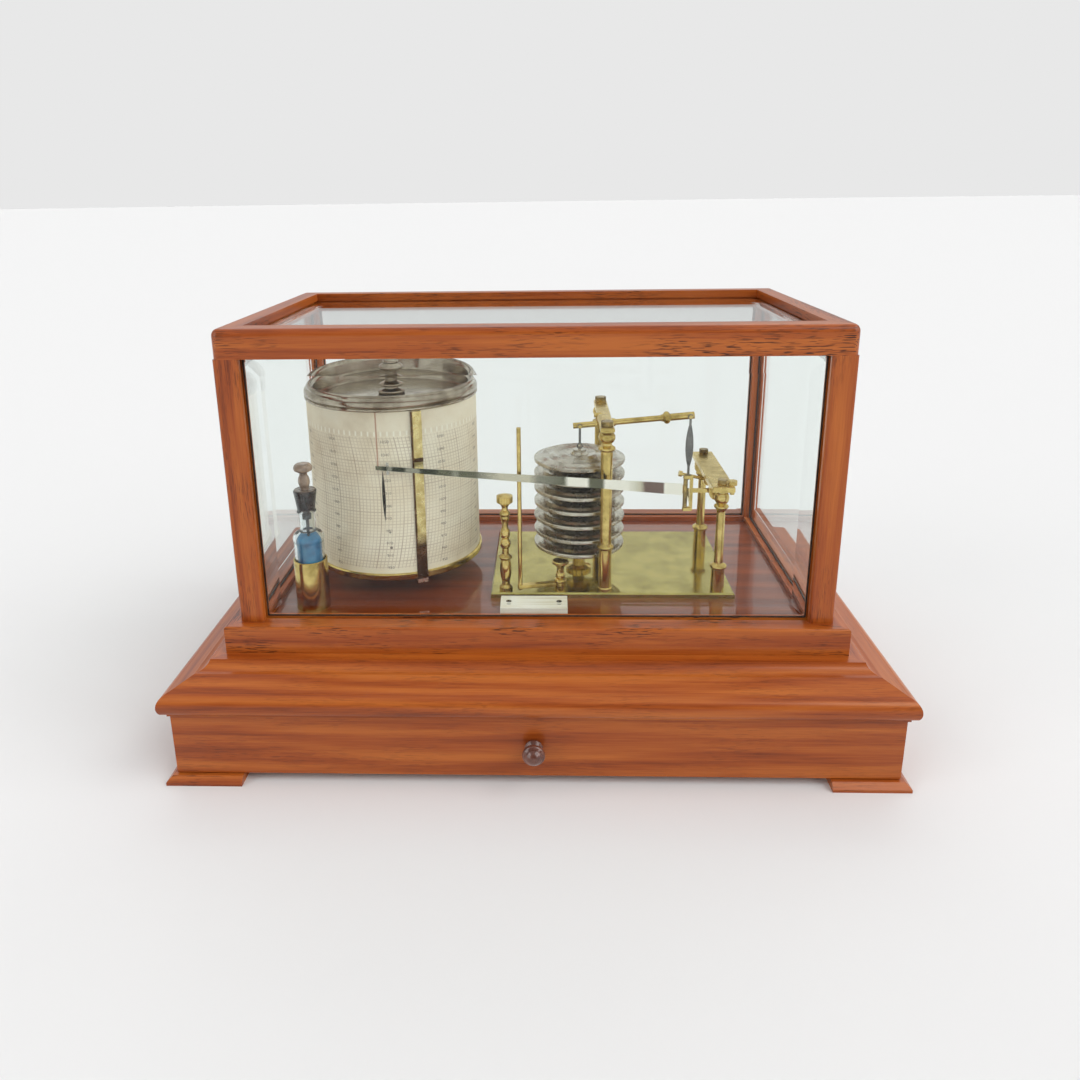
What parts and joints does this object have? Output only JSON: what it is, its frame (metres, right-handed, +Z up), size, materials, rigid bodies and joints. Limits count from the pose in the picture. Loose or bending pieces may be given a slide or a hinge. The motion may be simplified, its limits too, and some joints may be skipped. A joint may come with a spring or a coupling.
{
  "type": "barograph",
  "caption": "Recording aneroid barometer in a glazed wooden case with a lift-off cover, clock drum, capsule stack, pen arm and a chart drawer in the moulded base.",
  "frame": {"origin": "middle of the outline on the table, drawer knob included, at the feet's bottom", "axes": "+X to the right along the case, +Y to the back, +Z up"},
  "size_m": [0.3588, 0.2322, 0.2179],
  "materials": {
    "base_moulding": "glossy",
    "carcass_walls": "glossy",
    "carcass_bottom": "glossy",
    "drawer_runners": "glossy",
    "instrument_board": "glossy",
    "bracket_feet": "glossy",
    "bedplate": "polished",
    "label_plate": "ivory, satin",
    "label_screws": "polished",
    "stack_pillars": "polished",
    "stack_bridge": "polished",
    "pen_pillars": "polished",
    "pen_bridge": "polished",
    "bridge_nuts": "polished",
    "stack_foot": "polished",
    "setting_column": "polished",
    "lift_post": "polished",
    "ink_cup": "polished",
    "great_wheel": "polished",
    "drum_spindle": "polished",
    "drum_nut": "bronzed, polished",
    "cover_bottom_rails": "glossy",
    "cover_posts": "glossy",
    "cover_top_rails": "glossy",
    "glass_front": "clear",
    "glass_back": "clear",
    "glass_left": "clear",
    "glass_right": "clear",
    "glass_top": "clear",
    "drawer_front": "glossy",
    "drawer_tray": "glossy",
    "drawer_knob": "glossy",
    "drum_shell": "polished",
    "drum_cap": "bronzed, polished",
    "chart": "matt",
    "chart_clip": "polished",
    "clock_movement": "polished",
    "drive_pinion": "polished",
    "beam": "polished",
    "beam_sleeve": "polished",
    "stack_link": "polished",
    "pen_link": "polished",
    "stack_cap": "polished",
    "capsule_1": "nickel plated, satin",
    "capsule_2": "nickel plated, satin",
    "capsule_3": "nickel plated, satin",
    "capsule_4": "nickel plated, satin",
    "capsule_5": "nickel plated, satin",
    "capsule_6": "nickel plated, satin",
    "capsule_7": "nickel plated, satin",
    "pen_arbor": "polished",
    "pen_gate": "polished",
    "pen_arm": "nickel plated, satin",
    "pen_nib": "nickel plated, satin",
    "lift_lever": "polished",
    "lift_knob": "polished",
    "setting_knob": "polished",
    "ink_bottle": "clear",
    "stopper": "glossy black"
  },
  "bodies": {
    "base": {"base_moulding": "base_moulding", "carcass_walls": "carcass_walls", "carcass_bottom": "carcass_bottom", "drawer_runners": "drawer_runners", "instrument_board": "instrument_board", "bracket_feet": "bracket_feet", "bedplate": "bedplate", "label_plate": "label_plate", "label_screws": "label_screws", "stack_pillars": "stack_pillars", "stack_bridge": "stack_bridge", "pen_pillars": "pen_pillars", "pen_bridge": "pen_bridge", "bridge_nuts": "bridge_nuts", "stack_foot": "stack_foot", "setting_column": "setting_column", "lift_post": "lift_post", "ink_cup": "ink_cup", "great_wheel": "great_wheel", "drum_spindle": "drum_spindle", "drum_nut": "drum_nut"},
    "cover": {"cover_bottom_rails": "cover_bottom_rails", "cover_posts": "cover_posts", "cover_top_rails": "cover_top_rails", "glass_front": "glass_front", "glass_back": "glass_back", "glass_left": "glass_left", "glass_right": "glass_right", "glass_top": "glass_top"},
    "drawer": {"drawer_front": "drawer_front", "drawer_tray": "drawer_tray", "drawer_knob": "drawer_knob"},
    "drum": {"drum_shell": "drum_shell", "drum_cap": "drum_cap", "chart": "chart", "chart_clip": "chart_clip", "clock_movement": "clock_movement"},
    "drive_pinion": {"drive_pinion": "drive_pinion"},
    "beam": {"beam": "beam", "beam_sleeve": "beam_sleeve"},
    "stack_link": {"stack_link": "stack_link"},
    "pen_link": {"pen_link": "pen_link"},
    "stack_head": {"stack_cap": "stack_cap", "capsule_1": "capsule_1", "capsule_2": "capsule_2", "capsule_3": "capsule_3", "capsule_4": "capsule_4", "capsule_5": "capsule_5", "capsule_6": "capsule_6", "capsule_7": "capsule_7"},
    "pen_arbor": {"pen_arbor": "pen_arbor"},
    "pen": {"pen_gate": "pen_gate", "pen_arm": "pen_arm", "pen_nib": "pen_nib"},
    "lift_lever": {"lift_lever": "lift_lever", "lift_knob": "lift_knob"},
    "setting_knob": {"setting_knob": "setting_knob"},
    "ink_bottle": {"ink_bottle": "ink_bottle"},
    "stopper": {"stopper": "stopper"}
  },
  "joints": [
    {"name": "cover_lift", "type": "slide", "parent": "base", "child": "cover", "axis": [0, 0, 1], "range_m": [0, 0.2]},
    {"name": "drawer_slide", "type": "slide", "parent": "base", "child": "drawer", "axis": [0, -1, 0], "range_m": [0, 0.13]},
    {"name": "drum_spin", "type": "hinge", "parent": "base", "child": "drum", "pos_m": [-0.079, 0.00428, 0.12], "axis": [0, 0, 1], "continuous": true},
    {"name": "pinion_spin", "type": "hinge", "parent": "drum", "child": "drive_pinion", "pos_m": [-0.0646, 0.02922, 0.08], "axis": [0, 0, 1], "continuous": true},
    {"name": "beam_rock", "type": "hinge", "parent": "base", "child": "beam", "pos_m": [0.038, -0.01073, 0.1566], "axis": [0, -1, 0], "range_deg": [-5.6, 2.2]},
    {"name": "stack_link_swing", "type": "hinge", "parent": "beam", "child": "stack_link", "pos_m": [0.02445, -0.01073, 0.15541], "axis": [0, -1, 0], "range_deg": [-2.2, 5.6]},
    {"name": "pen_link_swing", "type": "hinge", "parent": "beam", "child": "pen_link", "pos_m": [0.08313, -0.01073, 0.16055], "axis": [0, -1, 0], "range_deg": [-2.2, 5.6]},
    {"name": "stack_breathe", "type": "slide", "parent": "base", "child": "stack_head", "axis": [0, 0, 1], "range_m": [-0.00034, 0.00105], "deforming": ["capsule_1", "capsule_2", "capsule_3", "capsule_4", "capsule_5", "capsule_6", "capsule_7"]},
    {"name": "pen_arbor_turn", "type": "hinge", "parent": "base", "child": "pen_arbor", "pos_m": [0.0945, -0.01073, 0.1245], "axis": [0, 1, 0], "range_deg": [-22, 8.6]},
    {"name": "pen_gate_swing", "type": "hinge", "parent": "pen_arbor", "child": "pen", "pos_m": [0.0766, -0.04503, 0.128], "axis": [0, 0, 1], "range_deg": [0, 6.6]},
    {"name": "lift_lever_turn", "type": "hinge", "parent": "base", "child": "lift_lever", "pos_m": [0.0137, -0.03823, 0.076], "axis": [0, 0, 1], "range_deg": [0, 25]},
    {"name": "setting_knob_turn", "type": "hinge", "parent": "base", "child": "setting_knob", "pos_m": [-0.0153, -0.03823, 0.11], "axis": [0, 0, 1], "continuous": true},
    {"name": "ink_bottle_lift", "type": "slide", "parent": "base", "child": "ink_bottle", "axis": [0, 0, 1], "range_m": [0, 0.024]},
    {"name": "stopper_lift", "type": "slide", "parent": "ink_bottle", "child": "stopper", "axis": [0, 0, 1], "range_m": [0, 0.03]}
  ],
  "couplings": [
    {"joint": "pinion_spin", "follows": "drum_spin", "ratio": 5},
    {"joint": "beam_rock", "follows": "stack_breathe", "rad_per_m": -73.81},
    {"joint": "stack_link_swing", "follows": "stack_breathe", "rad_per_m": 73.81},
    {"joint": "pen_link_swing", "follows": "stack_breathe", "rad_per_m": 73.81},
    {"joint": "pen_arbor_turn", "follows": "stack_breathe", "rad_per_m": -292.89},
    {"joint": "pen_gate_swing", "follows": "lift_lever_turn", "ratio": 0.257}
  ]
}
